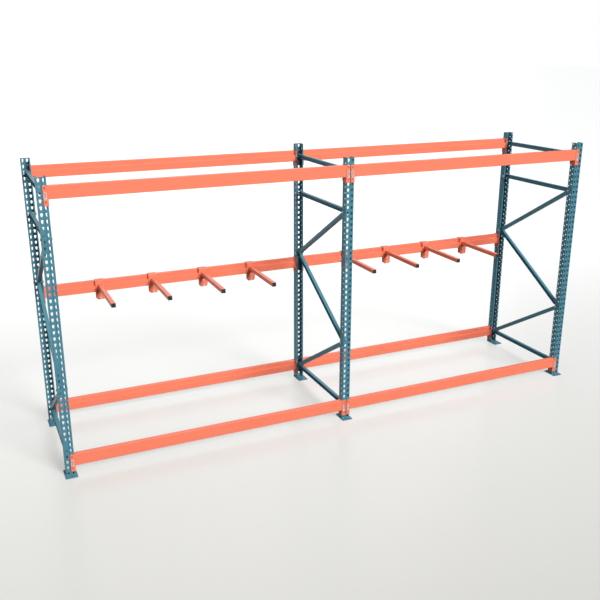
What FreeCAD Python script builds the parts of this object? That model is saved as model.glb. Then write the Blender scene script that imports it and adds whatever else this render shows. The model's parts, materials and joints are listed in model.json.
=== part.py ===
import FreeCAD, Part
import math
import os

from FreeCAD import Placement, Rotation, Vector

# Two-bay rack for long stock that stands on end: three upright frames, ten
# hook-on step beams and eight divider arms that slide along the middle rear beams.
# X runs along the rack, the front faces -Y and +Z is up.

INCH = 25.4

# Overall layout
bay_pitch = 99 * INCH
frame_depth = 44 * INCH
post_height = 95.875 * INCH
frame_names = ("left", "centre", "right")
bay_names = ("left", "right")
arms_per_bay = 4

# Posts: a roll-formed open section, face outwards, lips towards the frame's middle
post_width = 3 * INCH
post_depth = 2.75 * INCH
post_wall = 2.0
post_bend = 2.0
lip_width = 10.0
groove_width = 12.0
groove_floor = 5.0
groove_depth = 4.0

# Teardrop holes in the post's face, and the round holes in its two sides
hole_pitch = 2 * INCH
first_hole = 1 * INCH
column_spacing = 1.5 * INCH
drop_top_radius = 9.0
drop_tip_radius = 5.75
drop_height = 28.0
side_hole_radius = 6.35
side_row_near_face = 0.85 * INCH
side_row_near_lips = 2.15 * INCH
side_row_lift = 8.0

# Base plates
plate_width = 100.0
plate_depth = 6 * INCH
plate_thickness = 6.35
plate_corner = 5.0
front_plate_overhang = 1.75 * INCH
rear_plate_inset = 0.4 * INCH
anchor_hole_radius = 7.0
anchor_spacing = 72.0
anchor_from_face = 3.5 * INCH

# Braces between the two posts of a frame
brace_width = 1.25 * INCH
brace_height = 1.5 * INCH
brace_wall = 1.8
brace_bend = 2.0
brace_entry = 30.0
brace_rise = 9.0
brace_gap = 1.0
brace_end_above_bolt = 9.0
brace_tab_reach = 13.0
brace_tab_clearance = 0.4
lowest_brace_hole = 2
panel_holes = 12
top_brace_holes_down = 2
least_top_panel_holes = 4
brace_bolt_room = 0.75
brace_bolt_radius = side_hole_radius - brace_bolt_room
brace_bolt_clearance = 0.25
bolt_flats = 17.0
bolt_head_height = 6.4
bolt_nut_height = 8.0
bolt_stub = 2.0
sleeve_wall = 2.0
sleeve_radius = brace_bolt_radius + sleeve_wall
pin_clearance = 0.1

# Step beams and the connectors welded to their ends
beam_height = 4 * INCH
beam_depth = 2.375 * INCH
beam_top_depth = 1.625 * INCH
step_height = 1.625 * INCH
beam_wall = 1.8
beam_bend = 1.6
beam_proud = 0.5
beam_drop = 2.3
top_beam_holes_down = 1
middle_beam_hole = 25
bottom_beam_hole = 3
connector_height = 6 * INCH
connector_wall = 3.8
connector_bend = 2.0
connector_rise = 0.45 * INCH
connector_gap = 8.0
connector_chamfer = 14.0
connector_corner = 5.0
leg_slot_width = 14.0
leg_slot_height = 1.4 * INCH
leg_slot_down = 0.3 * INCH
leg_hole_radius = 7.0
leg_hole_up = 1.25 * INCH
leg_hole_from_lips = 15.0

# Rivets that hook a connector into the teardrops
rivet_room = 0.25
rivet_radius = drop_tip_radius - rivet_room
rivet_clearance = 0.1
rivet_outer_lip = 1.5
rivet_outer_head_radius = rivet_radius + rivet_outer_lip
rivet_outer_head = 1.2
rivet_entry_room = 0.8
rivet_inner_head_radius = drop_top_radius - rivet_entry_room
rivet_inner_head = 2.5
rivet_grip_gap = 0.3
rivet_spacing_holes = 2

# Safety locks: a flat sprung ring with a pin that stops the beam lifting
lock_width = 24.0
lock_height = 2.4 * INCH
lock_thickness = 1.5
lock_standoff = 0.3
lock_window_width = 9.0
lock_window_height = 22.0
lock_pin_radius = 5.0
lock_pin_clearance = 0.3
lock_pin_reach = 4.0
lock_pin_below_top = 9.0
lock_dimple_radius = 2.0
lock_dimple_up = 9.0

# Divider arms
arm_tube = 1.5 * INCH
arm_wall = 2.5
arm_bend = 1.5
arm_length = 600.0
bracket_width = 3.25 * INCH
bracket_wall = 4.5
bracket_bend = 2.0
bracket_drop = 2.85 * INCH
bracket_chamfer = 15.0
bracket_clearance = 0.4
bracket_flange_depth = 1 * INCH
bracket_notch_gap = 3.0
tongue_width = 32.0
clamp_bolt_radius = 6.0
clamp_bolt_clearance = 0.3
clamp_bolt_up = 12.2
clamp_flats = 18.0
clamp_head_height = 7.5
clamp_nut_height = 10.0
clamp_stub = 3.0
spare_hole_radius = 5.0
spare_hole_down = 8.0
cap_flange = 3.0
cap_edge = 1.2
cap_plug_length = 14.0
cap_plug_wall = 2.0
cap_plug_clearance = 0.15

# Places worked out from the sizes above
hole_count = int((post_height - first_hole) / hole_pitch + 1e-6) + 1
drop_top_rise = drop_height / 2 - drop_top_radius
drop_tip_rise = drop_tip_radius - drop_height / 2
column_offset = column_spacing / 2
half_post = post_width / 2
beam_front = -beam_proud
beam_back = beam_front + beam_depth
beam_step = beam_front + beam_top_depth
beam_length = bay_pitch - post_width - 2 * connector_wall
bolt_y = side_row_near_lips
top_beam_hole = hole_count - 1 - top_beam_holes_down
top_brace_hole = hole_count - 1 - top_brace_holes_down
tongue_face = beam_front - bracket_clearance - bracket_wall
bracket_face = beam_back + bracket_clearance + bracket_wall
front_limit = -frame_depth / 2 - front_plate_overhang
rear_limit = frame_depth / 2 - tongue_face + clamp_nut_height + clamp_stub
to_row_frame = Vector(0, -(front_limit + rear_limit) / 2, 0)


def hole_z(index):
    """Height of the centre of a teardrop hole, counted from the lowest."""
    return first_hole + index * hole_pitch


# ---- outlines ---------------------------------------------------------------

def rounded_face(points, radii):
    """A flat face in XY whose corners are rounded, each by its own radius."""
    corners = []
    count = len(points)
    for i, (point, radius) in enumerate(zip(points, radii)):
        here = Vector(*point)
        if radius <= 0:
            corners.append((here, None, here))
            continue
        back = (Vector(*points[i - 1]) - here).normalize()
        ahead = (Vector(*points[(i + 1) % count]) - here).normalize()
        half_angle = back.getAngle(ahead) / 2
        reach = radius / math.tan(half_angle)
        bisector = (back + ahead).normalize()
        middle = here + bisector * (radius / math.sin(half_angle) - radius)
        corners.append((here + back * reach, middle, here + ahead * reach))
    edges = []
    for i, (start, middle, end) in enumerate(corners):
        if middle is not None:
            edges.append(Part.Arc(start, middle, end).toShape())
        next_start = corners[(i + 1) % count][0]
        if (next_start - end).Length > 1e-6:
            edges.append(Part.LineSegment(end, next_start).toShape())
    return Part.Face(Part.Wire(edges))


def left_normal(a, b):
    """Unit vector to the left of the run from a to b."""
    length = math.hypot(b[0] - a[0], b[1] - a[1])
    return (-(b[1] - a[1]) / length, (b[0] - a[0]) / length)


def offset_corner(before, here, after, distance):
    """The mitred point at a distance to the left of both runs at a corner."""
    n1 = left_normal(before, here)
    n2 = left_normal(here, after)
    scale = distance / (1 + n1[0] * n2[0] + n1[1] * n2[1])
    return (here[0] + (n1[0] + n2[0]) * scale, here[1] + (n1[1] + n2[1]) * scale)


def turns_left(before, here, after):
    """True where the line turns left."""
    run = (here[0] - before[0], here[1] - before[1])
    next_run = (after[0] - here[0], after[1] - here[1])
    return run[0] * next_run[1] - run[1] * next_run[0] > 0


def bent_strip(points, wall, bend):
    """Section of a sheet bent along an open line, its thickness on the left."""
    last = len(points) - 1
    near = []
    far = []
    for i, here in enumerate(points):
        if i in (0, last):
            n = left_normal(points[max(i - 1, 0)], points[min(i + 1, last)])
            near.append((here, 0))
            far.append(((here[0] + n[0] * wall, here[1] + n[1] * wall), 0))
            continue
        before = points[i - 1]
        after = points[i + 1]
        left = turns_left(before, here, after)
        near.append((here, bend + wall if left else bend))
        far.append((offset_corner(before, here, after, wall), bend if left else bend + wall))
    outline = near + far[::-1]
    return rounded_face([p for p, r in outline], [r for p, r in outline])


def tube_section(points, wall, bend):
    """Section of a closed tube, from the anticlockwise outline of its outside."""
    outer_radii = []
    inner = []
    inner_radii = []
    count = len(points)
    for i, here in enumerate(points):
        before = points[i - 1]
        after = points[(i + 1) % count]
        convex = turns_left(before, here, after)
        outer_radii.append(bend + wall if convex else bend)
        inner.append(offset_corner(before, here, after, wall))
        inner_radii.append(bend if convex else bend + wall)
    return rounded_face(points, outer_radii).cut(rounded_face(inner, inner_radii))


def square(half):
    """Corners of a square about the origin, anticlockwise."""
    return [(-half, -half), (half, -half), (half, half), (-half, half)]


# ---- solids in common directions --------------------------------------------

def along_x(face, start, end):
    """Extrude a section drawn as (y, z) from one x to another."""
    solid = face.extrude(Vector(0, 0, end - start))
    solid.Placement = Placement(Vector(start, 0, 0), Rotation(Vector(1, 1, 1), 120))
    return solid


def along_y(face, start, end):
    """Extrude a section drawn as (x, z) from one y to another."""
    solid = face.extrude(Vector(0, 0, end - start))
    solid.Placement = Placement(Vector(0, end, 0), Rotation(Vector(1, 0, 0), 90))
    return solid


def along_z(face, start, end):
    """Extrude a section drawn as (x, y) from one z to another."""
    solid = face.extrude(Vector(0, 0, end - start))
    solid.translate(Vector(0, 0, start))
    return solid


def block(low, high):
    """A box between two corners."""
    size = Vector(*high) - Vector(*low)
    return Part.makeBox(size.x, size.y, size.z, Vector(*low))


def rod_x(radius, start, end, y, z):
    """A round bar along X."""
    return Part.makeCylinder(radius, end - start, Vector(start, y, z), Vector(1, 0, 0))


def rod_y(radius, start, end, x, z):
    """A round bar along Y."""
    return Part.makeCylinder(radius, end - start, Vector(x, start, z), Vector(0, 1, 0))


def hexagon(flats):
    """A hexagonal face about the origin."""
    reach = flats / math.sqrt(3)
    corners = [(reach * math.cos(a), reach * math.sin(a)) for a in hexagon_angles()]
    return rounded_face(corners, [0] * 6)


def hexagon_angles():
    """The directions of a hexagon's six corners."""
    return [math.radians(60 * k) for k in range(6)]


def moved(shape, x=0.0, y=0.0, z=0.0):
    """A copy of a shape, shifted."""
    copy = shape.copy()
    copy.translate(Vector(x, y, z))
    return copy


def mirrored_x(shape):
    """A copy of a shape, mirrored left to right."""
    return shape.mirror(Vector(0, 0, 0), Vector(1, 0, 0))


def on_front(shape, x=0.0):
    """Place a shape made with its outside towards -Y on the rack's front."""
    return moved(shape, x, -frame_depth / 2)


def on_rear(shape, x=0.0):
    """Place a shape made with its outside towards -Y on the rack's rear."""
    copy = shape.copy()
    copy.rotate(Vector(0, 0, 0), Vector(0, 0, 1), 180)
    return moved(copy, x, frame_depth / 2)


place = {"front": on_front, "rear": on_rear}


# ---- posts and base plates --------------------------------------------------

def post_section():
    """Open section: grooved face at y = 0, two sides and two lips."""
    right = [
        (groove_floor / 2, groove_depth), (groove_width / 2, 0), (half_post, 0),
        (half_post, post_depth), (half_post - lip_width, post_depth),
    ]
    left = [(-x, y) for x, y in right[::-1]]
    return bent_strip(left + right, post_wall, post_bend)


def teardrop():
    """Outline of a teardrop hole, drawn as (x, z) about the hole's centre."""
    slant = math.asin((drop_tip_radius - drop_top_radius) / (drop_top_rise - drop_tip_rise))
    dx = math.cos(slant)
    dz = math.sin(slant)
    top = [Vector(s * drop_top_radius * dx, drop_top_rise + drop_top_radius * dz, 0) for s in (1, -1)]
    tip = [Vector(s * drop_tip_radius * dx, drop_tip_rise + drop_tip_radius * dz, 0) for s in (1, -1)]
    crown = Vector(0, drop_top_rise + drop_top_radius, 0)
    foot = Vector(0, drop_tip_rise - drop_tip_radius, 0)
    edges = [
        Part.Arc(top[0], crown, top[1]).toShape(),
        Part.LineSegment(top[1], tip[1]).toShape(),
        Part.Arc(tip[1], foot, tip[0]).toShape(),
        Part.LineSegment(tip[0], top[0]).toShape(),
    ]
    return Part.Face(Part.Wire(edges))


def punched_holes():
    """All the holes of one post, as cutting tools."""
    tools = []
    drop = along_y(teardrop(), -1.0, post_wall + 1.0)
    through = post_wall + 2.0
    for index in range(hole_count):
        z = hole_z(index)
        for x in (-column_offset, column_offset):
            tools.append(moved(drop, x, 0, z))
        rows = [(side_row_near_lips, z + side_row_lift)]
        if index:
            rows.append((side_row_near_face, z - hole_pitch / 2))
        for y, row_z in rows:
            for start in (-half_post - 1.0, half_post - post_wall - 1.0):
                tools.append(rod_x(side_hole_radius, start, start + through, y, row_z))
    return tools


def plain_post():
    """A punched post standing on its base plate, outside towards -Y."""
    solid = along_z(post_section(), plate_thickness, post_height)
    return solid.cut(Part.makeCompound(punched_holes()))


def brace_nodes():
    """Heights of the zigzag's turns, as hole numbers from the rear foot up."""
    turns = [lowest_brace_hole]
    while turns[-1] + panel_holes <= top_brace_hole - least_top_panel_holes:
        turns.append(turns[-1] + panel_holes)
    return turns


def pin_z(index):
    """Height of the side hole that takes the pin or bolt of a brace."""
    return hole_z(index) + side_row_lift


def pin_places():
    """Every pin and bolt of one frame, as (y, z, sides with a web, flush).

    Where the connectors slide over the post, at the top and the lowest brace,
    the pins are flush with the post. The others are bolts with heads and nuts.
    """
    turns = brace_nodes()
    line = frame_depth / 2 - bolt_y
    places = []
    for number, index in enumerate(turns):
        y = -line if number % 2 else line
        places.append((y, pin_z(index), (-1, 1), number == 0))
        if number in (0, len(turns) - 1):
            places.append((-y, pin_z(index), (1,), number == 0))
    for y in (-line, line):
        places.append((y, pin_z(top_brace_hole), (1,), True))
    return places


def base_plate(outer_edge):
    """A base plate whose outer edge is at the given y, with two anchor holes."""
    half = plate_width / 2
    inner_edge = outer_edge + plate_depth
    outline = [(-half, outer_edge), (half, outer_edge), (half, inner_edge), (-half, inner_edge)]
    plate = along_z(rounded_face(outline, [plate_corner] * 4), 0, plate_thickness)
    for x in (-anchor_spacing / 2, anchor_spacing / 2):
        start = Vector(x, anchor_from_face, -1.0)
        plate = plate.cut(Part.makeCylinder(anchor_hole_radius, plate_thickness + 2.0, start))
    return plate


# ---- braces and their bolts -------------------------------------------------

def channel_section(web_side):
    """A brace's channel as (x, z), its back towards the given sign of x."""
    half = brace_height / 2
    web = web_side * brace_width / 2
    line = [(-web, -half), (web, -half), (web, half), (-web, half)]
    if web_side < 0:
        line.reverse()
    return bent_strip(line, brace_wall, brace_bend)


def web_section(web_side, grown=0.0):
    """The flat back of the same channel as a plain plate, grown all round."""
    outside = web_side * (brace_width / 2 + grown)
    inside = web_side * (brace_width / 2 - brace_wall - grown)
    flat = brace_height / 2 - brace_wall - brace_bend + grown
    low, high = sorted((outside, inside))
    return rounded_face([(low, -flat), (high, -flat), (high, flat), (low, flat)], [0] * 4)


def laid_along(section, start, end):
    """Extrude an (x, z) section between two (y, z) points, and beyond both."""
    rise = math.atan2(end[1] - start[1], end[0] - start[0])
    extra = 2 * brace_height
    solid = section.extrude(Vector(0, 0, math.dist(start, end) + 2 * extra))
    y = start[0] - extra * math.cos(rise)
    z = start[1] - extra * math.sin(rise)
    turn = Rotation(Vector(1, 0, 0), math.degrees(rise) - 90)
    solid.Placement = Placement(Vector(0, y, z), turn)
    return solid


def trimmed(solid, low_z, high_z):
    """Cut a brace off level at two heights, and upright inside both posts."""
    reach = frame_depth / 2 - post_depth + brace_entry
    return solid.common(block((-brace_width, -reach, low_z), (brace_width, reach, high_z)))


def level_brace(index):
    """A level brace whose back faces +X."""
    line = frame_depth / 2 - bolt_y
    z = hole_z(index) + brace_rise
    bar = laid_along(channel_section(1), (-line, z), (line, z))
    return trimmed(bar, z - brace_height, z + brace_height)


def diagonal(number, turns):
    """A diagonal, and the room that its web needs beside its neighbours' flanges.

    Its flanges stop clear of the next brace and its web runs on to the shared bolt.
    """
    line = frame_depth / 2 - bolt_y
    low_y = -line if number % 2 else line
    side = 1 if number % 2 else -1
    low = hole_z(turns[number]) + brace_rise
    high = hole_z(turns[number + 1]) + brace_rise
    low_bolt = pin_z(turns[number])
    high_bolt = pin_z(turns[number + 1])
    half = brace_height / 2
    low_cut = low + half + brace_gap if number == 0 else low_bolt + brace_end_above_bolt + brace_gap
    tab_low = low_bolt - brace_tab_reach
    if number == len(turns) - 2:
        high_cut = high - half - brace_gap
        tab_high = high_bolt + brace_tab_reach
    else:
        high_cut = high_bolt + brace_end_above_bolt
        tab_high = high_cut
    run = ((low_y, low), (-low_y, high))
    gap = brace_tab_clearance
    body = trimmed(laid_along(channel_section(side), *run), low_cut, high_cut)
    web = trimmed(laid_along(web_section(side), *run), tab_low, tab_high)
    room = trimmed(laid_along(web_section(side, gap), *run), tab_low - gap, tab_high + gap)
    return body.fuse(web).removeSplitter(), room


def braces():
    """All the braces of one frame, drilled for their pins and bolts."""
    turns = brace_nodes()
    top, second, lowest = [level_brace(i) for i in (top_brace_hole, turns[-1], turns[0])]
    diagonals = [diagonal(number, turns) for number in range(len(turns) - 1)]
    bodies = [body for body, room in diagonals]
    lowest = lowest.cut(diagonals[0][1])
    second = second.cut(diagonals[-1][1])
    for number in range(1, len(bodies)):
        bodies[number - 1] = bodies[number - 1].cut(diagonals[number][1])
    reach = brace_width / 2 + 1.0
    radius = brace_bolt_radius + brace_bolt_clearance
    drills = [rod_x(radius, -reach, reach, y, z) for y, z, sides, flush in pin_places()]
    return [piece.cut(Part.makeCompound(drills)) for piece in [top, second, lowest] + bodies]


def flush_pin(y, z):
    """A pin whose ends fill the side holes, level with the post's sides."""
    pin = rod_x(brace_bolt_radius, -half_post, half_post, y, z)
    fill = side_hole_radius - pin_clearance
    ends = [rod_x(fill, -half_post, post_wall - half_post, y, z),
            rod_x(fill, half_post - post_wall, half_post, y, z)]
    return [pin.fuse(ends).removeSplitter()]


def hex_bolt_x(y, z):
    """A bolt along X with its head outside the post, and its nut."""
    head = moved(along_x(hexagon(bolt_flats), -half_post - bolt_head_height, -half_post), 0, y, z)
    end = half_post + bolt_nut_height + bolt_stub
    bolt = head.fuse(rod_x(brace_bolt_radius, -half_post, end, y, z))
    nut = moved(along_x(hexagon(bolt_flats), half_post, half_post + bolt_nut_height), 0, y, z)
    bore = rod_x(brace_bolt_radius + pin_clearance, half_post - 1.0, end + 1.0, y, z)
    return [bolt.removeSplitter(), nut.cut(bore)]


def sleeves(y, z, web_sides):
    """Tubes on a pin or bolt that hold the braces' webs apart and off the post."""
    inner_wall = half_post - post_wall
    stops = [-inner_wall]
    for side in web_sides:
        stops += sorted((side * brace_width / 2, side * (brace_width / 2 - brace_wall)))
    stops.append(inner_wall)
    tubes = []
    for start, end in zip(stops[::2], stops[1::2]):
        bore = rod_x(brace_bolt_radius + pin_clearance, start - 1.0, end + 1.0, y, z)
        tubes.append(rod_x(sleeve_radius, start, end, y, z).cut(bore))
    return tubes


def brace_bolts():
    """The pins, bolts, nuts and sleeves of one frame."""
    pieces = []
    for y, z, web_sides, flush in pin_places():
        pieces += flush_pin(y, z) if flush else hex_bolt_x(y, z)
        pieces += sleeves(y, z, web_sides)
    return pieces


# ---- beams, connectors, rivets and locks ------------------------------------

def connector_top(index):
    """Top of a connector whose upper rivet sits in the given hole."""
    return hole_z(index) + connector_rise


def beam_top(index):
    """Top of a beam at the given level."""
    return connector_top(index) - beam_drop


def lock_top(index):
    """Top edge of a safety lock: its pin is at the crown of the next hole down."""
    return hole_z(index - 1) + drop_top_rise + lock_pin_below_top


def rivet_heights(index):
    """Heights of a connector's two rivets."""
    return [hole_z(index - k * rivet_spacing_holes) + drop_tip_rise for k in (0, 1)]


def lock_pin_z(index):
    """Height of a lock's pin."""
    return lock_top(index) - lock_pin_below_top


def connector(index):
    """The angle plate at the beam's left end, about the post's middle line."""
    top = connector_top(index)
    bottom = top - connector_height
    outer = half_post + connector_wall
    line = [(connector_gap / 2, -connector_wall), (outer, -connector_wall), (outer, post_depth)]
    plate = along_z(bent_strip(line, connector_wall, connector_bend), bottom, top)
    wedge = Part.makePolygon([
        Vector(half_post - 1, post_depth, bottom),
        Vector(half_post - 1, post_depth - connector_chamfer, bottom),
        Vector(half_post - 1, post_depth, bottom + connector_chamfer),
        Vector(half_post - 1, post_depth, bottom),
    ])
    plate = plate.cut(Part.Face(wedge).extrude(Vector(connector_wall + 2, 0, 0)))
    for z in rivet_heights(index):
        plate = plate.cut(rod_y(rivet_radius + rivet_clearance, -outer, 1, column_offset, z))
    pin_hole = lock_pin_radius + lock_pin_clearance
    plate = plate.cut(rod_y(pin_hole, -outer, 1, column_offset, lock_pin_z(index)))
    y = post_depth - leg_hole_from_lips
    plate = plate.cut(rod_x(leg_hole_radius, half_post - 1, outer + 1, y, bottom + leg_hole_up))
    slot_top = top - leg_slot_down
    slot_foot = slot_top - leg_slot_height
    half_slot = leg_slot_width / 2
    slot = [(y - half_slot, slot_foot), (y + half_slot, slot_foot),
            (y + half_slot, slot_top), (y - half_slot, slot_top)]
    rounding = [half_slot * 0.98] * 4
    plate = plate.cut(along_x(rounded_face(slot, rounding), half_post - 1, outer + 1))
    corners = [e for e in plate.Edges
               if abs(e.CenterOfMass.x - connector_gap / 2) < 0.01
               and min(abs(e.CenterOfMass.z - top), abs(e.CenterOfMass.z - bottom)) < 0.01]
    return plate.makeFillet(connector_corner, corners)


def beam_tube(index):
    """The closed step section, from one connector's side leg to the other's."""
    top = beam_top(index)
    bottom = top - beam_height
    ledge = top - step_height
    outline = [
        (beam_front, bottom), (beam_back, bottom), (beam_back, ledge),
        (beam_step, ledge), (beam_step, top), (beam_front, top),
    ]
    return along_x(tube_section(outline, beam_wall, beam_bend), -beam_length / 2, beam_length / 2)


def both_ends(shape):
    """A shape made at a left-hand post, repeated at both ends of a bay."""
    return [moved(shape, -bay_pitch / 2), moved(mirrored_x(shape), bay_pitch / 2)]


def beam_with_connectors(index):
    """One beam and its two connectors, three solids that touch at the welds."""
    return [beam_tube(index)] + both_ends(connector(index))


def rivet(z):
    """A rivet through a connector, its inner head behind the post's face."""
    grip_end = post_wall + rivet_grip_gap
    outer_face = -connector_wall - rivet_outer_head
    solid = rod_y(rivet_radius, outer_face, grip_end + rivet_inner_head, column_offset, z)
    outer_head = rod_y(rivet_outer_head_radius, outer_face, -connector_wall, column_offset, z)
    inner_head = rod_y(rivet_inner_head_radius, grip_end, grip_end + rivet_inner_head, column_offset, z)
    return solid.fuse([outer_head, inner_head]).removeSplitter()


def safety_lock(index):
    """A ring-shaped sprung plate with a round pin near its top."""
    high = lock_top(index)
    low = high - lock_height
    half = lock_width / 2
    front = -connector_wall - lock_standoff - lock_thickness
    back = front + lock_thickness
    outline = [(column_offset - half, low), (column_offset + half, low),
               (column_offset + half, high), (column_offset - half, high)]
    plate = along_y(rounded_face(outline, [half * 0.98] * 4), front, back)
    middle = (high + low) / 2
    w = lock_window_width / 2
    h = lock_window_height / 2
    window = [(column_offset - w, middle - h), (column_offset + w, middle - h),
              (column_offset + w, middle + h), (column_offset - w, middle + h)]
    plate = plate.cut(along_y(rounded_face(window, [w * 0.98] * 4), front - 1, back + 1))
    plate = plate.cut(rod_y(lock_dimple_radius, front - 1, back + 1, column_offset, low + lock_dimple_up))
    reach = post_wall + lock_pin_reach
    pin = rod_y(lock_pin_radius, front, reach, column_offset, lock_pin_z(index))
    return plate.fuse(pin).removeSplitter()


# ---- divider arms -----------------------------------------------------------

def arm_bracket():
    """The saddle that hangs on a middle beam, centred on x = 0."""
    top = beam_top(middle_beam_hole)
    bottom = top - beam_height
    low = bottom - bracket_drop
    cover = top + bracket_clearance
    half = bracket_width / 2
    # inner faces: up the front plate and back over the beam
    line = [(bracket_face - bracket_wall, low), (bracket_face - bracket_wall, cover),
            (tongue_face, cover)]
    strap_section = bent_strip(line[::-1], bracket_wall, bracket_bend)
    strap = along_x(strap_section, -half, half)
    corners = []
    for side in (-1, 1):
        points = [Vector(side * half, 0, low), Vector(side * (half - bracket_chamfer), 0, low),
                  Vector(side * half, 0, low + bracket_chamfer), Vector(side * half, 0, low)]
        wedge = Part.Face(Part.makePolygon(points)).extrude(Vector(0, bracket_face + 1, 0))
        corners.append(wedge)
    strap = strap.cut(Part.makeCompound(corners))
    pieces = [block((-tongue_width / 2, tongue_face, low),
                    (tongue_width / 2, tongue_face + bracket_wall, cover + bracket_wall / 2))]
    back = bracket_face - bracket_wall
    ledge = top - step_height
    for start in (-half, half - bracket_wall):
        end = start + bracket_wall
        pieces.append(block((start, beam_step + bracket_notch_gap, ledge + bracket_notch_gap),
                            (end, back + 0.5, cover + 0.5)))
        pieces.append(block((start, bracket_face - bracket_flange_depth, low + bracket_chamfer),
                            (end, back + 0.5, bottom - bracket_notch_gap)))
    solid = strap.fuse(pieces).removeSplitter()
    bolt_hole = clamp_bolt_radius + clamp_bolt_clearance
    solid = solid.cut(rod_y(bolt_hole, tongue_face - 1, bracket_face + 1, 0, low + clamp_bolt_up))
    spare_z = bottom - spare_hole_down
    return solid.cut(rod_y(spare_hole_radius, back - 1, bracket_face + 1, 0, spare_z))


def arm_centre_z():
    """Height of an arm's middle line: half way up the beam."""
    return beam_top(middle_beam_hole) - beam_height / 2


def arm_bar():
    """The square tube of an arm, from its bracket towards the rack's front."""
    section = tube_section(square(arm_tube / 2), arm_wall, arm_bend)
    return moved(along_y(section, bracket_face, bracket_face + arm_length), 0, 0, arm_centre_z())


def arm_cap():
    """The moulded plug that closes an arm's free end."""
    end = bracket_face + arm_length
    half = arm_tube / 2
    flange = along_y(rounded_face(square(half), [arm_bend + arm_wall] * 4), end, end + cap_flange)
    rim = [e for e in flange.Edges if abs(e.CenterOfMass.y - end - cap_flange) < 0.01]
    flange = flange.makeFillet(cap_edge, rim)
    plug_half = half - arm_wall - cap_plug_clearance
    plug = along_y(tube_section(square(plug_half), cap_plug_wall, arm_bend), end - cap_plug_length, end)
    return moved(flange.fuse(plug).removeSplitter(), 0, 0, arm_centre_z())


def arm_clamp():
    """The bolt that closes the saddle below the beam, and its nut."""
    z = beam_top(middle_beam_hole) - beam_height - bracket_drop + clamp_bolt_up
    head = moved(along_y(hexagon(clamp_flats), bracket_face, bracket_face + clamp_head_height), 0, 0, z)
    end = tongue_face - clamp_nut_height - clamp_stub
    bolt = head.fuse(rod_y(clamp_bolt_radius, end, bracket_face, 0, z)).removeSplitter()
    nut = moved(along_y(hexagon(clamp_flats), tongue_face - clamp_nut_height, tongue_face), 0, 0, z)
    nut = nut.cut(rod_y(clamp_bolt_radius + rivet_clearance, end - 1, tongue_face + 1, 0, z))
    return [bolt, nut]


def arm_positions():
    """Arm centres from a bay's middle: they share its clear width equally."""
    share = (bay_pitch - post_width) / (arms_per_bay + 1)
    return [share * (k - (arms_per_bay - 1) / 2) for k in range(arms_per_bay)]


# ---- the whole rack ---------------------------------------------------------

def frame_x(name):
    """Middle of an upright frame along the rack."""
    return (frame_names.index(name) - 1) * bay_pitch


def bay_x(name):
    """Middle of a bay along the rack."""
    return (bay_names.index(name) - 0.5) * bay_pitch


def frame_parts():
    """Posts, base plates, braces and brace bolts of the three frames."""
    parts = {}
    post = plain_post()
    plates = [on_front(base_plate(-front_plate_overhang)), on_rear(base_plate(rear_plate_inset))]
    bars = braces()
    bolts = brace_bolts()
    for name in frame_names:
        x = frame_x(name)
        for side in ("front", "rear"):
            parts["post_%s_%s" % (name, side)] = [place[side](post, x)]
        parts["base_plates_%s" % name] = [moved(plate, x) for plate in plates]
        parts["braces_%s" % name] = [moved(bar, x) for bar in bars]
        parts["brace_bolts_%s" % name] = [moved(bolt, x) for bolt in bolts]
    return parts


def beam_places():
    """Name, hole number and side of every pair of beams."""
    return [
        ("front_top", top_beam_hole, "front"), ("rear_top", top_beam_hole, "rear"),
        ("rear_middle", middle_beam_hole, "rear"),
        ("front_bottom", bottom_beam_hole, "front"), ("rear_bottom", bottom_beam_hole, "rear"),
    ]


def beam_parts():
    """Beams with connectors, their rivets, and the locks of each beam."""
    parts = {}
    rivets = []
    for level, index, side in beam_places():
        beam = beam_with_connectors(index)
        locks = both_ends(safety_lock(index))
        pins = [one for z in rivet_heights(index) for one in both_ends(rivet(z))]
        for bay in bay_names:
            x = bay_x(bay)
            parts["beam_%s_%s" % (level, bay)] = [place[side](piece, x) for piece in beam]
            parts["locks_%s_%s" % (level, bay)] = [place[side](piece, x) for piece in locks]
            rivets += [place[side](piece, x) for piece in pins]
    parts["connector_rivets"] = rivets
    return parts


def arm_parts():
    """Arms numbered from left to right in each bay, with their caps and bolts."""
    parts = {}
    welded = [arm_bracket(), arm_bar()]
    cap = [arm_cap()]
    clamp = arm_clamp()
    for bay in bay_names:
        for number, offset in enumerate(arm_positions(), start=1):
            x = bay_x(bay) + offset
            label = "%s_%d" % (bay, number)
            parts["arm_" + label] = [on_rear(piece, x) for piece in welded]
            parts["arm_cap_" + label] = [on_rear(piece, x) for piece in cap]
            parts["arm_bolt_" + label] = [on_rear(piece, x) for piece in clamp]
    return parts


def write_step(name, solids):
    """Write one node, as one solid or as a group of separate solids."""
    for solid in solids:
        solid.translate(to_row_frame)
    shape = solids[0] if len(solids) == 1 else Part.makeCompound(solids)
    if not shape.isValid():
        raise RuntimeError("bad shape: " + name)
    shape.exportStep(os.path.join("parts", name + ".step"))


def main():
    """Build every node and write its file."""
    os.makedirs("parts", exist_ok=True)
    for group in (frame_parts(), beam_parts(), arm_parts()):
        for name, solids in group.items():
            write_step(name, solids)


main()
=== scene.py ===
import json
import math

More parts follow.
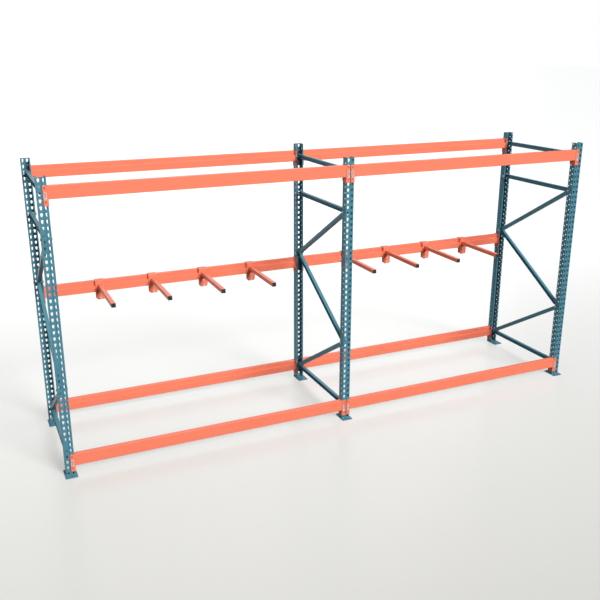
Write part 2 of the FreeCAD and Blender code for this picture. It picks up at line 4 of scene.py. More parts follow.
import bpy
from mathutils import Euler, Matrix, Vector


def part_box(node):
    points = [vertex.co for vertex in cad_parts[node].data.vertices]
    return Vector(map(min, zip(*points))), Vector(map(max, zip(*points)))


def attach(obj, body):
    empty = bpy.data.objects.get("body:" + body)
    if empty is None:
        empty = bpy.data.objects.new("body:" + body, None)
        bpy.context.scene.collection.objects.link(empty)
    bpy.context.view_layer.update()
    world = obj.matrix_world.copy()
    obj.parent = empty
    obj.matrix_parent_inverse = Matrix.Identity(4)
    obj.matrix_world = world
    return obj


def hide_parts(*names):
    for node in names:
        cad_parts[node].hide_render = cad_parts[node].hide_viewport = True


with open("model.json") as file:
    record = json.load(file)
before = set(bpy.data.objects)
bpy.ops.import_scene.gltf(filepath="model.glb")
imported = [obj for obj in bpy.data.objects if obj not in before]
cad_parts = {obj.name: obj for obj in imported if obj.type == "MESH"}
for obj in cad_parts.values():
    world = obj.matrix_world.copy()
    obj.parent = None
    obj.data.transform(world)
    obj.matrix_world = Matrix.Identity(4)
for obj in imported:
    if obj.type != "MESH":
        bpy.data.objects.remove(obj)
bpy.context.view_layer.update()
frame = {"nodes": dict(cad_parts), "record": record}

# The rack's painted steel, zinc fittings and arm caps, dressed for a studio.
# All lengths are in metres.

INCH = 0.0254
ARMS = ["arm_{}_{}".format(bay, number) for bay in ("left", "right") for number in (1, 2, 3, 4)]


# ---- shader maths -----------------------------------------------------------

class Signal:
    """A node socket that can be used in a Python expression."""

    def __init__(self, finish, socket):
        self.finish = finish
        self.socket = socket

    def maths(self, operation, left, right):
        """Add one Math node to the finish this socket belongs to."""
        settings = {"operation": operation}
        return self.finish.node("ShaderNodeMath", settings, {0: left, 1: right})

    def __add__(self, other):
        return self.maths("ADD", self, other)

    def __radd__(self, other):
        return self.maths("ADD", other, self)

    def __sub__(self, other):
        return self.maths("SUBTRACT", self, other)

    def __rsub__(self, other):
        return self.maths("SUBTRACT", other, self)

    def __mul__(self, other):
        return self.maths("MULTIPLY", self, other)

    def __rmul__(self, other):
        return self.maths("MULTIPLY", other, self)


class Finish:
    """One material: its shader, and the nodes that vary it over a surface."""

    def __init__(self, name, **constants):
        self.material = bpy.data.materials.new(name)
        self.material.use_nodes = True
        self.tree = self.material.node_tree
        self.shader = self.tree.nodes["Principled BSDF"]
        for socket, value in constants.items():
            self.shader.inputs[socket.replace("_", " ")].default_value = value

    def node(self, kind, settings, sockets, output=0):
        """Add a node, settings first, then the values or links of its sockets."""
        made = self.tree.nodes.new(kind)
        for name, value in settings.items():
            if name == "stops":
                for stop, (place, shade) in zip(made.color_ramp.elements, value):
                    stop.position = place
                    stop.color = (shade, shade, shade, 1)
            else:
                setattr(made, name, value)
        for name, value in sockets.items():
            if isinstance(value, Signal):
                self.tree.links.new(value.socket, made.inputs[name])
            else:
                made.inputs[name].default_value = value
        return Signal(self, made.outputs[output])

    def feed(self, socket, signal):
        """Link a varying value to one of the shader's sockets."""
        self.tree.links.new(signal.socket, self.shader.inputs[socket])

    def place(self):
        """The point on the piece, in metres from the rack's origin."""
        return self.node("ShaderNodeTexCoord", {}, {}, "Object")

    def noise(self, scale, detail, roughness=0.5, stretch=(1, 1, 1)):
        """Noise with so many features to the metre, in a range from 0 to 1."""
        where = self.node("ShaderNodeMapping", {}, {"Vector": self.place(), "Scale": stretch})
        sockets = {"Vector": where, "Scale": scale, "Detail": detail, "Roughness": roughness}
        return self.node("ShaderNodeTexNoise", {}, sockets)

    def ramp(self, signal, low, high):
        """0 below low and 1 above high, with a straight slope between."""
        stops = ((low, 0.0), (high, 1.0))
        return self.node("ShaderNodeValToRGB", {"stops": stops}, {"Fac": signal})

    def blend(self, mask, first, second):
        """The first colour where the mask is 0 and the second where it is 1."""
        settings = {"data_type": "RGBA"}
        sockets = {0: mask, 6: first, 7: second}
        return self.node("ShaderNodeMix", settings, sockets, 2)

    def bump(self, height, depth, strength=1.0):
        """Raise the surface by height times depth, in metres."""
        sockets = {"Height": height, "Distance": depth, "Strength": strength}
        self.feed("Normal", self.node("ShaderNodeBump", {}, sockets))

    def facing_up(self):
        """1 on level surfaces that face up, and 0 on upright ones."""
        sloping, level = 0.55, 0.95
        normal = self.node("ShaderNodeNewGeometry", {}, {}, "Normal")
        height = self.node("ShaderNodeSeparateXYZ", {}, {"Vector": normal}, "Z")
        return self.ramp(height, sloping, level)


# ---- finishes ---------------------------------------------------------------

def opaque(red, green, blue):
    """A linear colour with full alpha."""
    return (red, green, blue, 1.0)


PAINT_SHINE = 0.16
PEEL_DEPTH = 0.00018
DUST = opaque(0.72, 0.66, 0.62)
DUST_AMOUNT = 0.02
SPANGLE_DEPTH = 0.00008
GRAIN_DEPTH = 0.00012


def powder_coat(name, colour, pale, deep):
    """Baked powder paint: orange peel, slight colour drift, fine scuffs and dust."""
    finish = Finish(name, Specular_IOR_Level=PAINT_SHINE)
    drift = finish.noise(3.0, 3.0)
    mottle = finish.noise(38.0, 4.0, 0.6)
    tone = finish.ramp(drift * 0.7 + mottle * 0.3, 0.35, 0.66)
    paint = finish.blend(tone, deep, colour)
    scuffs = finish.ramp(finish.noise(85.0, 6.0, 0.62, (0.35, 1.0, 1.0)), 0.64, 0.72)
    patches = finish.ramp(finish.noise(5.0, 2.0), 0.5, 0.62)
    worn = scuffs * patches * 0.5
    paint = finish.blend(worn, paint, pale)
    cover = finish.ramp(finish.noise(22.0, 5.0, 0.6), 0.3, 0.75)
    settled = finish.facing_up() * cover * DUST_AMOUNT
    paint = finish.blend(settled, paint, DUST)
    finish.feed("Base Color", paint)
    peel = finish.noise(420.0, 2.0)
    finish.feed("Roughness", 0.36 + peel * 0.08 + worn * 0.25 + settled * 0.6)
    finish.bump(peel + worn * 1.5, PEEL_DEPTH, 0.55)
    return finish.material


def zinc_plate(name, tone=1.0):
    """Bright zinc with a faint spangle and dulled patches; a tone below 1 darkens it all over, as
    painted shade.
    """
    finish = Finish(name, Metallic=0.55)

    def grey(red, green, blue):
        return opaque(red * tone, green * tone, blue * tone)

    cells = finish.node("ShaderNodeTexVoronoi", {}, {"Vector": finish.place(), "Scale": 420.0})
    spangle = finish.ramp(cells, 0.1, 0.8)
    dull = finish.ramp(finish.noise(70.0, 4.0), 0.42, 0.62)
    bright = finish.blend(spangle, grey(0.66, 0.66, 0.64), grey(0.52, 0.53, 0.53))
    finish.feed("Base Color", finish.blend(dull * 0.6, bright, grey(0.40, 0.39, 0.36)))
    finish.feed("Roughness", 0.28 + dull * 0.22)
    finish.bump(finish.noise(900.0, 2.0), SPANGLE_DEPTH, 0.4)
    return finish.material


def moulded_plastic(name):
    """Black moulded plastic with a fine eroded texture."""
    finish = Finish(name)
    grain = finish.noise(1500.0, 3.0)
    rubbed = finish.ramp(finish.noise(60.0, 4.0), 0.5, 0.7)
    black, grey = opaque(0.018, 0.020, 0.021), opaque(0.04, 0.042, 0.043)
    finish.feed("Base Color", finish.blend(rubbed, black, grey))
    finish.feed("Roughness", 0.48 + grain * 0.14 + rubbed * 0.08)
    finish.bump(grain, GRAIN_DEPTH, 0.6)
    return finish.material


def weld_paint(name, colour, deep):
    """The paint over a weld bead: thicker and a little glossier than on sheet. The rivets use it in
    a much darker orange, which is painted shade.
    """
    finish = Finish(name)
    finish.feed("Base Color", finish.blend(finish.noise(160.0, 3.0), colour, deep))
    finish.feed("Roughness", 0.3 + finish.noise(300.0, 2.0) * 0.15)
    return finish.material


BLUE = powder_coat("steel blue powder coat", opaque(0.078, 0.238, 0.308),
                   opaque(0.21, 0.37, 0.43), opaque(0.071, 0.225, 0.292))
ORANGE = powder_coat("salmon orange powder coat", opaque(0.90, 0.224, 0.132),
                     opaque(0.92, 0.40, 0.30), opaque(0.885, 0.214, 0.124))
ZINC = zinc_plate("zinc plate")
# Painted shade: the lock pins and eyelets are zinc darkened to stand for the dark shade in the
# holes at each lock's ends.
SHADE_DARKENED_ZINC = zinc_plate("zinc pin darkened as painted shade", 0.45)
PLASTIC = moulded_plastic("black moulded plastic")
BLUE_WELD = weld_paint("blue painted weld", opaque(0.11, 0.28, 0.35), opaque(0.07, 0.20, 0.26))
ORANGE_WELD = weld_paint("orange painted weld", opaque(0.88, 0.20, 0.11),
                         opaque(0.66, 0.12, 0.06))
# Painted shade: the rivets' orange is much darker than the beam's, standing for the shade round
# each rivet head on the connector faces.
RIVET_PAINTED_SHADE = weld_paint("orange rivet darkened as painted shade", opaque(0.60, 0.09, 0.045),
                         opaque(0.40, 0.05, 0.03))
FINISHES = {"blue_paint": BLUE, "orange_paint": ORANGE, "zinc": ZINC, "black_plastic": PLASTIC}


def dress_frame():
    """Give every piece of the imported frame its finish."""
    for subpart in frame["record"]["subparts"]:
        steel = frame["nodes"][subpart["node"]]
        for material_slot in steel.material_slots:
            material_slot.material = FINISHES[subpart["material_slot"]]


# ---- modelling helpers ------------------------------------------------------

def clear_selection():
    """Start with nothing selected and no piece active."""
    bpy.ops.object.select_all(action="DESELECT")


def pick(piece, kind, wanted):
    """In edit mode, select only the faces, edges or vertices that are wanted."""
    bpy.ops.mesh.select_mode(type=kind)
    bpy.ops.mesh.select_all(action="DESELECT")
    bpy.ops.object.mode_set(mode="OBJECT")
    mesh = piece.data
    parts = {"FACE": mesh.polygons, "EDGE": mesh.edges, "VERT": mesh.vertices}[kind]
    for part in parts:
        part.select = wanted(part)
    bpy.ops.object.mode_set(mode="EDIT")


def turned(rings, sides=20):
    """A turned piece along z, drawn out of a disc through (height, radius) rings."""
    clear_selection()
    height, radius = rings[0]
    bpy.ops.mesh.primitive_circle_add(vertices=sides, radius=radius, fill_type="NGON",
                                      location=(0, 0, height))
    piece = bpy.context.active_object
    bpy.ops.object.transform_apply(location=True, rotation=True, scale=True)
    bpy.ops.object.mode_set(mode="EDIT")
    bpy.ops.mesh.select_all(action="SELECT")
    for next_height, next_radius in rings[1:]:
        lift = {"value": (0, 0, next_height - height)}
        bpy.ops.mesh.extrude_region_move(TRANSFORM_OT_translate=lift)
        grow = next_radius / radius
        bpy.ops.transform.resize(value=(grow, grow, 1))
        height, radius = next_height, next_radius
    bpy.ops.mesh.select_all(action="SELECT")
    bpy.ops.mesh.normals_make_consistent(inside=False)
    bpy.ops.object.mode_set(mode="OBJECT")
    clear_selection()
    return piece


CHAMFER_HEIGHT = 0.07
CHAMFERED_END = 0.97
HAIR = 1e-5
THREAD_ROOT = 0.9
THREAD_TIP = 0.85


def hex_piece(flats, low, high, both_ends):
    """A hexagonal head or nut along z whose corners are chamfered at its ends."""
    reach = flats / math.sqrt(3)
    chamfer = flats * CHAMFER_HEIGHT
    narrow = flats / 2 * CHAMFERED_END
    rings = [(low, narrow), (low + chamfer, reach)] if both_ends else [(low, reach)]
    rings += [(high - chamfer, reach), (high, narrow), (high + HAIR, narrow * 0.9)]
    piece = turned(rings, 6)
    piece.rotation_euler = Euler((0, 0, math.pi / 6))
    return piece


def threaded_end(radius, start, end, pitch):
    """Rings of a shank whose thread shows between two heights."""
    rings = [(start, radius)]
    turn = pitch if end > start else -pitch
    height = start
    while abs(end - height) > 1.5 * pitch:
        rings += [(height + turn * 0.5, radius * THREAD_ROOT), (height + turn, radius)]
        height += turn
    rings.append((end, radius * THREAD_TIP))
    return rings


def copy_at(pattern, shift, turn=(0, 0, 0)):
    """A copy of a pattern piece with its own mesh, turned and then moved."""
    twin = pattern.copy()
    twin.data = pattern.data.copy()
    bpy.context.collection.objects.link(twin)
    twin.rotation_euler = (Euler(turn).to_matrix() @ pattern.rotation_euler.to_matrix()).to_euler()
    twin.location = Vector(shift)
    return twin


def join(pieces):
    """Join pieces into one, with their places in the mesh."""
    clear_selection()
    for piece in pieces:
        piece.select_set(True)
    bpy.context.view_layer.objects.active = pieces[0]
    bpy.ops.object.transform_apply(location=True, rotation=True, scale=True)
    if len(pieces) > 1:
        bpy.ops.object.join()
    joined = bpy.context.view_layer.objects.active
    clear_selection()
    return joined


def discard(*patterns):
    """Remove pattern pieces once all their copies are made."""
    for pattern in patterns:
        bpy.data.objects.remove(pattern)


def fit_out(pieces, name, material, body, nodes=(), smooth_degrees=35):
    """Join pieces under one name, finish them, and let them ride on a body."""
    piece = join(pieces)
    piece.select_set(True)
    bpy.context.view_layer.objects.active = piece
    bpy.ops.object.shade_smooth_by_angle(angle=math.radians(smooth_degrees))
    piece.name = name
    piece.data.name = name
    piece.data.materials.clear()
    piece.data.materials.append(material)
    clear_selection()
    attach(piece, body)
    if nodes:
        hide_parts(*nodes)
    return piece


def loose_solids(node):
    """The boxes of a CAD node's separate solids, as (lowest, highest) corners."""
    mesh = frame["nodes"][node].data
    parent = {}

    def root(key):
        while parent[key] != key:
            parent[key] = parent[parent[key]]
            key = parent[key]
        return key

    keys = [tuple(round(c, 6) for c in v.co) for v in mesh.vertices]
    for key in keys:
        parent.setdefault(key, key)
    for face in mesh.polygons:
        first = root(keys[face.vertices[0]])
        for corner in face.vertices[1:]:
            parent[root(keys[corner])] = first
    boxes = {}
    for key in parent:
        low, high = boxes.setdefault(root(key), (list(key), list(key)))
        for axis in range(3):
            low[axis] = min(low[axis], key[axis])
            high[axis] = max(high[axis], key[axis])
    return sorted((tuple(low), tuple(high)) for low, high in boxes.values())


def middle(low, high):
    """The centre of a box."""
    return (Vector(low) + Vector(high)) / 2


# turns that lay a piece drawn along z along another axis
ALONG_X = (0, math.pi / 2, 0)
BACK_ALONG_X = (0, -math.pi / 2, 0)
ALONG_Y = (-math.pi / 2, 0, 0)
BACK_ALONG_Y = (math.pi / 2, 0, 0)
OUT_AT_FRONT = BACK_ALONG_Y
OUT_AT_REAR = ALONG_Y


# ---- bolts and pins of the upright frames -----------------------------------

def build_frame_bolts():
    """Bolts, nuts, flush pins and sleeves where the braces meet the posts."""
    side = 0.0381
    inner = 0.0361
    thick = 0.0056
    fill = 0.00625
    flats = 0.017
    head_height = 0.0064
    nut_height = 0.0080
    thread_end = side + 0.0100
    thread_pitch = 0.0014
    least_bolt, least_pin, least_sleeve = 0.08, 0.06, 0.01
    head = hex_piece(flats, side, side + head_height, False)
    stem = turned([(-side, thick), (side, thick)], 14)
    shank = turned(threaded_end(thick, -side, -thread_end, thread_pitch), 14)
    nut = hex_piece(flats, -side - nut_height, -side, True)
    pin = turned([(-side, fill - 0.0005), (0.0002 - side, fill), (-inner, fill), (-inner, thick),
                  (inner, thick), (inner, fill), (side - 0.0002, fill), (side, fill - 0.0005)], 16)
    for name in ("left", "centre", "right"):
        node = "brace_bolts_" + name
        pieces = []
        for low, high in loose_solids(node):
            length = high[0] - low[0]
            place = middle(low, high)
            if length > least_bolt:
                place.x = low[0] + side + head_height
                for part in (head, stem, shank, nut):
                    pieces.append(copy_at(part, place, BACK_ALONG_X))
            elif length > least_pin:
                pieces.append(copy_at(pin, place, ALONG_X))
            elif length > least_sleeve:
                half = length / 2
                sleeve = turned([(-half, 0.0070), (0.0006 - half, 0.0076), (half - 0.0006, 0.0076),
                                 (half, 0.0070), (half, 0.0062), (half - 0.0005, 0.0059)], 16)
                pieces.append(copy_at(sleeve, place, ALONG_X))
                discard(sleeve)
        fit_out(pieces, "frame_bolts_" + name, ZINC, "rack", [node])
    discard(head, shank, stem, nut, pin)


# ---- rivets and safety locks ------------------------------------------------

def build_rivets():
    """Rivets with a low dome outside and a hooked head inside the post."""
    face = 0.0038
    shank = 0.0055
    dome = 0.0012
    rivet = turned([(-0.0048, 0.0076), (-0.0043, 0.0082), (-0.0027, 0.0082), (-0.0023, 0.0079),
                    (-0.0023, shank), (face, shank), (face, 0.0068), (face + 0.0004, 0.0070),
                    (face + 0.0008, 0.0064), (face + 0.0011, 0.0050), (face + dome, 0.0030)], 18)
    pieces = []
    for low, high in loose_solids("connector_rivets"):
        at_front = low[1] < 0
        place = middle(low, high)
        # the dome is the outermost point of the rivet
        place.y = low[1] + face + dome if at_front else high[1] - face - dome
        pieces.append(copy_at(rivet, place, OUT_AT_FRONT if at_front else OUT_AT_REAR))
    # the rivets' dark orange is painted shade round their heads
    fit_out(pieces, "beam_rivets", RIVET_PAINTED_SHADE, "rack", ["connector_rivets"])
    discard(rivet)


def lock_ring():
    """The lock's plate: a long ring cut from sheet, its edges eased.

    It is drawn in the xy plane with its length along y and its outside at z = 0.
    """
    half_width = 0.012
    rim = 0.0062
    stretch = 2.4 * INCH / 2 - half_width
    shrink = 0.0085
    within = half_width - rim + 0.0001
    clear_selection()
    bpy.ops.mesh.primitive_circle_add(vertices=28, radius=half_width, fill_type="NGON",
                                      location=(0, 0, 0))
    ring = bpy.context.active_object
    bpy.ops.object.mode_set(mode="EDIT")
    for side in (1, -1):
        pick(ring, "VERT", lambda v: v.co.y * side > 1e-6)
        bpy.ops.transform.translate(value=(0, side * stretch, 0))
    pick(ring, "FACE", lambda face: True)
    bpy.ops.mesh.inset(thickness=rim, depth=0)
    for side in (1, -1):
        pick(ring, "VERT", lambda v: abs(v.co.x) < within and v.co.y * side > 1e-6
             and abs(v.co.y) < stretch + 0.0060)
        bpy.ops.transform.translate(value=(0, -side * shrink, 0))
    pick(ring, "FACE", lambda face: len(face.vertices) > 20)
    bpy.ops.mesh.delete(type="FACE")
    bpy.ops.mesh.select_all(action="SELECT")
    bpy.ops.mesh.normals_make_consistent(inside=False)
    bpy.ops.object.mode_set(mode="OBJECT")
    sheet = ring.modifiers.new("sheet", "SOLIDIFY")
    sheet.thickness = 0.0015
    sheet.offset = -1
    eased = ring.modifiers.new("eased edges", "BEVEL")
    eased.width = 0.0004
    eased.segments = 2
    eased.limit_method = "ANGLE"
    bpy.ops.object.modifier_apply(modifier="sheet")
    bpy.ops.object.modifier_apply(modifier="eased edges")
    clear_selection()
    return ring


def build_locks():
    """Two sprung locks for each beam: a zinc ring and its pin."""
    pin_inset = 0.009
    ring = lock_ring()
    pin = turned([(-0.0115, 0.0038), (-0.0105, 0.0050), (-0.0010, 0.0050), (-0.0010, 0.0056),
                  (0.0001, 0.0055), (0.0007, 0.0044), (0.0009, 0.0024)], 18)
    eyelet = turned([(-0.0012, 0.0032), (0.0003, 0.0032), (0.0006, 0.0028), (0.0005, 0.0021),
                     (-0.0009, 0.0019), (-0.0010, 0.0008)], 14)
    for node in [n for n in frame["nodes"] if n.startswith("locks_")]:
        rings = []
        pins = []
        for low, high in loose_solids(node):
            at_front = low[1] < 0
            turn = OUT_AT_FRONT if at_front else OUT_AT_REAR
            outer = low[1] if at_front else high[1]
            centre = Vector(((low[0] + high[0]) / 2, outer, (low[2] + high[2]) / 2))
            rings.append(copy_at(ring, centre, turn))
            pins.append(copy_at(pin, (centre.x, outer, high[2] - pin_inset), turn))
            pins.append(copy_at(eyelet, (centre.x, outer, low[2] + pin_inset), turn))
        fit_out(rings, node.replace("locks", "lock_rings"), ZINC, node, [node])
        # the pins' and eyelets' dark zinc is painted shade in the lock holes
        fit_out(pins, node.replace("locks", "lock_pins"), SHADE_DARKENED_ZINC, node, [node])
    discard(ring, pin, eyelet)


# ---- divider arms -----------------------------------------------------------

CAP_THICK = 0.003


def arm_cap():
    """A moulded plug cap, its face towards +z and its ribbed plug below z = 0."""
    width = 1.5 * INCH
    corner = 0.004
    face_edge = 0.0011
    rim = 0.0035
    recess = 0.0006
    tube_wall = 0.00265
    rib = ((0.002, 1.0), (0.0002, 1.012), (0.002, 1.0), (0.0002, 0.988))
    clear_selection()
    bpy.ops.mesh.primitive_cube_add(size=1, location=(0, 0, CAP_THICK / 2),
                                    scale=(width, width, CAP_THICK))
    cap = bpy.context.active_object
    bpy.ops.object.transform_apply(location=True, rotation=True, scale=True)
    bpy.ops.object.mode_set(mode="EDIT")
    corners = cap.data

    def upright(edge):
        a, b = (corners.vertices[i].co for i in edge.vertices)
        return abs(a.z - b.z) > CAP_THICK / 2

    pick(cap, "EDGE", upright)
    bpy.ops.mesh.bevel(offset=corner, segments=5)
    pick(cap, "FACE", lambda face: face.normal.z > 0.9)
    bpy.ops.mesh.bevel(offset=face_edge, segments=3)
    pick(cap, "FACE", lambda face: face.normal.z > 0.99 and face.area > 5e-4)
    bpy.ops.mesh.inset(thickness=rim, depth=0)
    bpy.ops.mesh.inset(thickness=recess, depth=-recess)
    pick(cap, "FACE", lambda face: face.normal.z < -0.9)
    bpy.ops.mesh.inset(thickness=tube_wall, depth=0)
    # three sprung ribs that grip the inside of the tube
    for drop, grow in rib * 3:
        bpy.ops.mesh.extrude_region_move(TRANSFORM_OT_translate={"value": (0, 0, -drop)})
        bpy.ops.transform.resize(value=(grow, grow, 1))
    bpy.ops.mesh.select_all(action="SELECT")
    bpy.ops.mesh.normals_make_consistent(inside=False)
    bpy.ops.object.mode_set(mode="OBJECT")
    clear_selection()
    return cap


def build_arm_fittings():
    """The end cap and the clamp bolt of every divider arm."""
    flats = 0.018
    head_height = 0.0075
    nut_height = 0.010
    thick = 0.006
    stub = 0.013
    thread_pitch = 0.00175
    cap = arm_cap()
    head = hex_piece(flats, 0.0, head_height, False)
    nut = hex_piece(flats, -nut_height, 0.0, True)
    thread = turned(threaded_end(thick, -0.009, -stub, thread_pitch), 16)
    for arm in ARMS:
        cap_node = arm.replace("arm", "arm_cap")
        low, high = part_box(cap_node)
        place = ((low[0] + high[0]) / 2, low[1] + CAP_THICK, (low[2] + high[2]) / 2)
        fit_out([copy_at(cap, place, OUT_AT_FRONT)], arm.replace("arm", "plug_cap"),
                PLASTIC, arm, [cap_node])
        bolt_node = arm.replace("arm", "arm_bolt")
        low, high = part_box(bolt_node)
        x, z = (low[0] + high[0]) / 2, (low[2] + high[2]) / 2
        front_seat = (x, low[1] + head_height, z)
        rear_seat = (x, high[1] - stub, z)
        shank = turned([(front_seat[1] - rear_seat[1], thick), (0.0, thick)], 16)
        pieces = [copy_at(head, front_seat, OUT_AT_FRONT),
                  copy_at(shank, front_seat, OUT_AT_FRONT),
                  copy_at(nut, rear_seat, OUT_AT_FRONT),
                  copy_at(thread, rear_seat, OUT_AT_FRONT)]
        discard(shank)
        fit_out(pieces, arm.replace("arm", "clamp_bolt"), ZINC, arm, [bolt_node])
    discard(cap, head, nut, thread)


# ---- welds ------------------------------------------------------------------

BEAM_BEAD = 0.0017
FOOT_BEAD = 0.0024
ARM_BEAD = 0.0022


def weld_bead(length, radius):
    """A rippled bead along z from z = 0, laid in small overlapping steps."""
    step = radius * 1.5
    count = max(int(length / step), 2)
    step = length / count
    rings = [(0, radius * 0.5)]
    for i in range(count):
        rings += [(step * (i + 0.25), radius), (step * (i + 0.9), radius * 0.84)]
    rings.append((length, radius * 0.45))
    return turned(rings, 8)


def bead_between(start, end, radius, beads):
    """A bead laid along one axis between two points, made once for each length."""
    run = Vector(end) - Vector(start)
    length = run.length
    key = (round(length, 4), radius)
    if key not in beads:
        beads[key] = weld_bead(length, radius)
    turn = (0, 0, 0)
    if abs(run.x) > abs(run.y) + abs(run.z):
        turn = ALONG_X if run.x > 0 else BACK_ALONG_X
    elif abs(run.y) > abs(run.z):
        turn = ALONG_Y if run.y > 0 else BACK_ALONG_Y
    return copy_at(beads[key], start, turn)


def build_beam_welds():
    """Beads where each beam's top, ledge, back and bottom meet its connectors."""
    beads = {}
    pieces = []
    edge = 0.003
    step_size = 1.625 * INCH
    for node in [n for n in frame["nodes"] if n.startswith("beam_")]:
        low, high = max(loose_solids(node), key=lambda box: box[1][0] - box[0][0])
        at_front = low[1] < 0
        front, back = (low[1], high[1]) if at_front else (high[1], low[1])
        inwards = 1 if at_front else -1
        step = front + inwards * step_size
        ledge = high[2] - step_size
        e = edge * inwards
        lines = [((front + e, high[2]), (step - e, high[2])),
                 ((step, ledge + edge), (step, high[2] - edge)),
                 ((step + e, ledge), (back - e, ledge)),
                 ((back, low[2] + edge), (back, ledge - edge)),
                 ((front + e, low[2]), (back - e, low[2]))]
        for x in (low[0], high[0]):
            for (y0, z0), (y1, z1) in lines:
                pieces.append(bead_between((x, y0, z0), (x, y1, z1), BEAM_BEAD, beads))
    fit_out(pieces, "beam_welds", ORANGE_WELD, "rack", smooth_degrees=60)
    discard(*beads.values())


def build_foot_welds():
    """Beads round the foot of each post, on its face and its two sides."""
    beads = {}
    pieces = []
    groove = 0.008
    edge = 0.004
    for node in [n for n in frame["nodes"] if n.startswith("post_")]:
        low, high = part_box(node)
        foot = low[2]
        face, lips = (low[1], high[1]) if low[1] < 0 else (high[1], low[1])
        e = edge if face < lips else -edge
        centre = (low[0] + high[0]) / 2
        for x in (low[0], high[0]):
            pieces.append(bead_between((x, face + e, foot), (x, lips - e, foot), FOOT_BEAD, beads))
        for start, end in ((low[0] + edge, centre - groove), (centre + groove, high[0] - edge)):
            pieces.append(bead_between((start, face, foot), (end, face, foot), FOOT_BEAD, beads))
    fit_out(pieces, "foot_welds", BLUE_WELD, "rack", smooth_degrees=60)
    discard(*beads.values())


def build_arm_welds():
    """Beads on the four sides of each arm's tube, where it meets its saddle."""
    beads = {}
    edge = 0.0035
    for arm in ARMS:
        low, high = max(loose_solids(arm), key=lambda box: box[1][1] - box[0][1])
        y = high[1]
        lines = [((low[0] + edge, y, z), (high[0] - edge, y, z)) for z in (low[2], high[2])]
        lines += [((x, y, low[2] + edge), (x, y, high[2] - edge)) for x in (low[0], high[0])]
        pieces = [bead_between(start, end, ARM_BEAD, beads) for start, end in lines]
        fit_out(pieces, arm.replace("arm", "arm_weld"), ORANGE_WELD, arm,
                smooth_degrees=60)
    discard(*beads.values())


dress_frame()
build_frame_bolts()
build_rivets()
build_locks()
build_arm_fittings()
build_beam_welds()
build_foot_welds()
build_arm_welds()


# ---- floor, light and camera ------------------------------------------------

FLOOR_GLOW = 0.50
FLOOR_AHEAD = (0.41, 0.91, 0.0)
FLOOR_NEAR, FLOOR_FAR = -3.0, 6.0
FLOOR_REACH = 20.0
# The floor's glow is painted light: grey nearer the camera as painted shade, white ahead and far
# out.
FLOOR_SHADED_GLOW = opaque(0.66, 0.66, 0.61)
FLOOR_WHITE = opaque(1.50, 1.52, 1.52)


def glowing_studio_floor(name):
    """The floor: lit from within by a glow that is painted light, and a little glossy; the glow is
    greyer towards the camera as painted shade, and whiter ahead and far out.
    """
    finish = Finish(name, Base_Color=opaque(0.8, 0.8, 0.79), Specular_IOR_Level=1.0, Roughness=0.27)
    depth = finish.node("ShaderNodeVectorMath", {"operation": "DOT_PRODUCT"},
                        {0: finish.place(), 1: FLOOR_AHEAD}, 1)
    ahead = finish.ramp((depth - FLOOR_NEAR) * (1 / (FLOOR_FAR - FLOOR_NEAR)), 0.0, 1.0)
    # painted shade: the glow is grey on the near side, towards the camera, and white ahead
    shade = finish.blend(ahead, FLOOR_SHADED_GLOW, FLOOR_WHITE)
    away = finish.node("ShaderNodeVectorMath", {"operation": "LENGTH"}, {0: finish.place()}, 1)
    shade = finish.blend(finish.ramp(away * (1 / FLOOR_REACH), 0.35, 0.75), shade, FLOOR_WHITE)
    glow = finish.node("ShaderNodeEmission", {}, {"Color": shade, "Strength": 1.0})
    gloss = Signal(finish, finish.shader.outputs[0])
    surface = finish.node("ShaderNodeMixShader", {}, {0: FLOOR_GLOW, 1: gloss, 2: glow})
    output = finish.tree.nodes["Material Output"]
    finish.tree.links.new(surface.socket, output.inputs["Surface"])
    return finish.material


def build_floor():
    """A wide pale floor under the rack."""
    clear_selection()
    bpy.ops.mesh.primitive_plane_add(size=200.0, location=(0, 0, 0))
    floor = bpy.context.active_object
    floor.name = "studio_floor"
    floor.data.materials.append(glowing_studio_floor("studio white"))
    floor.visible_diffuse = False
    clear_selection()


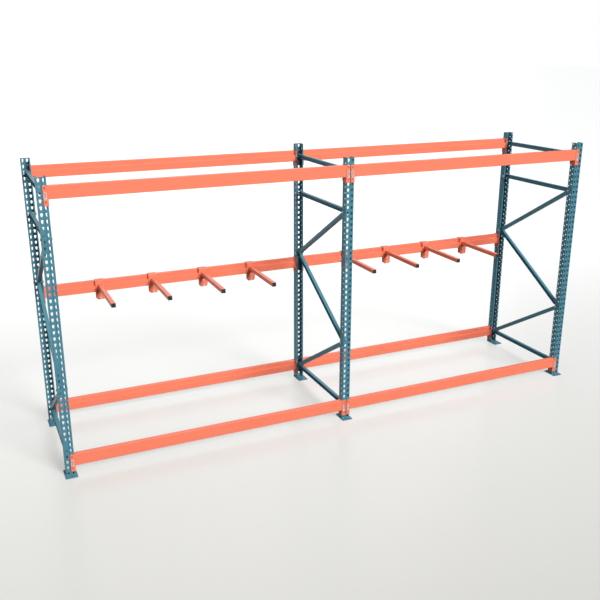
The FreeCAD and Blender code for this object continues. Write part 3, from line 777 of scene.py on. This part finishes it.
def broad_light(name, source, power, spread_degrees):
    """A soft distant light that shines from a direction towards the rack."""
    lamp = bpy.data.lights.new(name, "SUN")
    lamp.energy = power
    lamp.angle = math.radians(spread_degrees)
    holder = bpy.data.objects.new(name, lamp)
    bpy.context.collection.objects.link(holder)
    holder.rotation_euler = (-Vector(source)).to_track_quat("-Z", "Y").to_euler()


def strip_light(name, place, target, size, power):
    """A long soft box aimed at a point."""
    lamp = bpy.data.lights.new(name, "AREA")
    lamp.shape = "RECTANGLE"
    lamp.size = size[0]
    lamp.size_y = size[1]
    lamp.energy = power
    holder = bpy.data.objects.new(name, lamp)
    bpy.context.collection.objects.link(holder)
    holder.location = place
    holder.rotation_euler = (Vector(target) - Vector(place)).to_track_quat("-Z", "Y").to_euler()


def build_studio():
    """A white surround that only the camera sees, and soft light all round."""
    world = bpy.data.worlds.new("white studio")
    world.use_nodes = True
    world.node_tree.nodes["Background"].inputs["Color"].default_value = opaque(1, 1, 1)
    world.node_tree.nodes["Background"].inputs["Strength"].default_value = 1.0
    world.cycles_visibility.diffuse = False
    world.cycles_visibility.glossy = False
    bpy.context.scene.world = world
    broad_light("key", (0.30, -0.80, 0.52), 3.65, 25)
    broad_light("overhead", (-0.05, 0.12, 1.0), 0.4, 70)
    broad_light("left fill", (-1.0, -0.15, 0.25), 1.15, 50)
    broad_light("rear fill", (0.15, 1.0, 0.3), 1.2, 60)
    strip_light("top strip", (0.0, -4.0, 4.6), (0.0, 0.0, 2.0), (8.0, 1.0), 60)
    bpy.context.scene.view_settings.view_transform = "Standard"


def build_camera():
    """The viewpoint: beyond the left end of the rack's front, above head height."""
    dip, aim = math.radians(18.102), math.radians(24.262)
    lens = bpy.data.cameras.new("camera")
    lens.lens = 46.53
    lens.sensor_width = 36.0
    camera = bpy.data.objects.new("camera", lens)
    camera.location = (-3.10198, -6.38374, 3.32603)
    camera.rotation_euler = (math.pi / 2 - dip, 0, -aim)
    bpy.context.collection.objects.link(camera)
    bpy.context.scene.camera = camera


build_floor()
build_studio()
build_camera()
